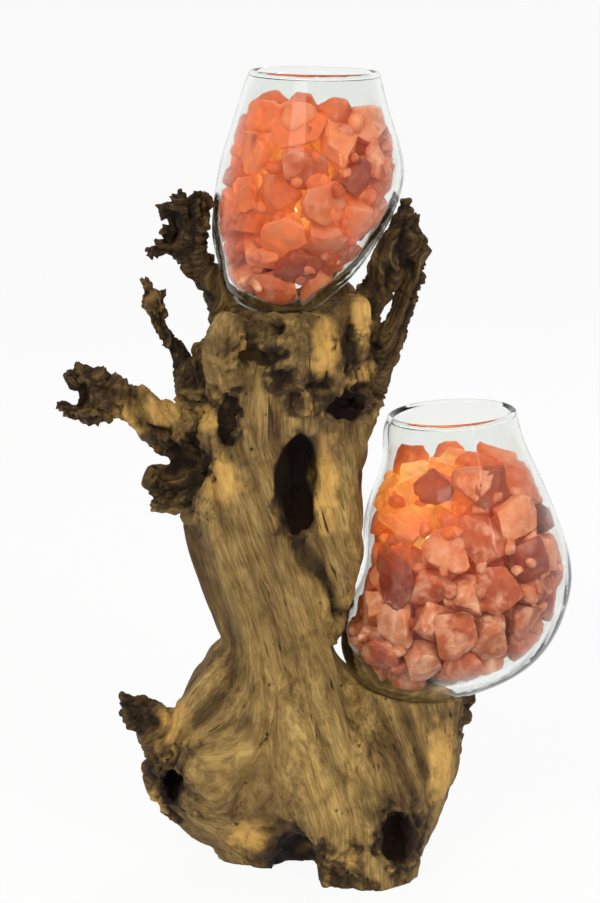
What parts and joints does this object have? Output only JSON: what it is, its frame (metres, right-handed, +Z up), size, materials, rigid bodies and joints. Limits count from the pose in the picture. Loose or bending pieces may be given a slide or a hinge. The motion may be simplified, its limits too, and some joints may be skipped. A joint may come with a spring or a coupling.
{
  "type": "salt lamp",
  "caption": "Driftwood root stand carrying open blown-glass vessels of loose pink rock salt lumps, each lit from within by a small screw bulb; vessels lift off, bulbs unscrew.",
  "frame": {"origin": "middle of the overall footprint, on the surface that the root stands on", "axes": "+Z up, -Y towards the front shown in the picture, +X to the side of the lower vessel"},
  "size_m": [0.3802, 0.1602, 0.5983],
  "materials": {
    "driftwood": "weathered, unvarnished",
    "clear_glass": "clear, fire polished",
    "salt_pale": "translucent, rough broken crystal",
    "salt_pink": "translucent, rough broken crystal",
    "salt_red": "translucent, rough broken crystal",
    "plated_steel": "zinc plated",
    "brass": "plain",
    "rubber": "matt",
    "black_plastic": "matt",
    "porcelain": "glazed",
    "dark_glass": "opaque",
    "bulb_glass": "clear",
    "filament": "glowing wire"
  },
  "bodies": {
    "stand": {"driftwood_root": "driftwood", "upper_wire_grommet": "rubber", "lower_wire_grommet": "rubber"},
    "upper_lamp": {"upper_glass_vessel": "clear_glass", "upper_salt_pale": "salt_pale", "upper_salt_pink": "salt_pink", "upper_salt_red": "salt_red", "upper_threaded_tube": "plated_steel", "upper_inner_gasket": "rubber", "upper_inner_washer": "plated_steel", "upper_inner_lock_nut": "plated_steel", "upper_outer_gasket": "rubber", "upper_outer_washer": "plated_steel", "upper_outer_lock_nut": "plated_steel", "upper_holder_dome": "black_plastic", "upper_holder_sleeve": "black_plastic", "upper_holder_core": "porcelain", "upper_holder_thread_shell": "brass", "upper_holder_contact": "brass"},
    "upper_bulb": {"upper_bulb_end_contact": "brass", "upper_bulb_insulator": "dark_glass", "upper_bulb_cap": "plated_steel", "upper_bulb_envelope": "bulb_glass", "upper_bulb_stem": "bulb_glass", "upper_bulb_filament": "filament"},
    "lower_lamp": {"lower_glass_vessel": "clear_glass", "lower_salt_pale": "salt_pale", "lower_salt_pink": "salt_pink", "lower_salt_red": "salt_red", "lower_threaded_tube": "plated_steel", "lower_inner_gasket": "rubber", "lower_inner_washer": "plated_steel", "lower_inner_lock_nut": "plated_steel", "lower_outer_gasket": "rubber", "lower_outer_washer": "plated_steel", "lower_outer_lock_nut": "plated_steel", "lower_holder_dome": "black_plastic", "lower_holder_sleeve": "black_plastic", "lower_holder_core": "porcelain", "lower_holder_thread_shell": "brass", "lower_holder_contact": "brass"},
    "lower_bulb": {"lower_bulb_end_contact": "brass", "lower_bulb_insulator": "dark_glass", "lower_bulb_cap": "plated_steel", "lower_bulb_envelope": "bulb_glass", "lower_bulb_stem": "bulb_glass", "lower_bulb_filament": "filament"}
  },
  "joints": [
    {"name": "upper_lift", "type": "slide", "parent": "stand", "child": "upper_lamp", "axis": [0, 0, 1], "range_m": [0, 0.11]},
    {"name": "lower_lift", "type": "slide", "parent": "stand", "child": "lower_lamp", "axis": [0.5, 0, 0.866], "range_m": [0, 0.12]},
    {"name": "upper_bulb_turn", "type": "hinge", "parent": "upper_lamp", "child": "upper_bulb", "pos_m": [-0.024, 0, 0.46], "axis": [0, 0, 1], "range_deg": [0, 900]},
    {"name": "lower_bulb_turn", "type": "hinge", "parent": "lower_lamp", "child": "lower_bulb", "pos_m": [0.078, 0, 0.21], "axis": [0, 0, 1], "range_deg": [0, 900]}
  ]
}
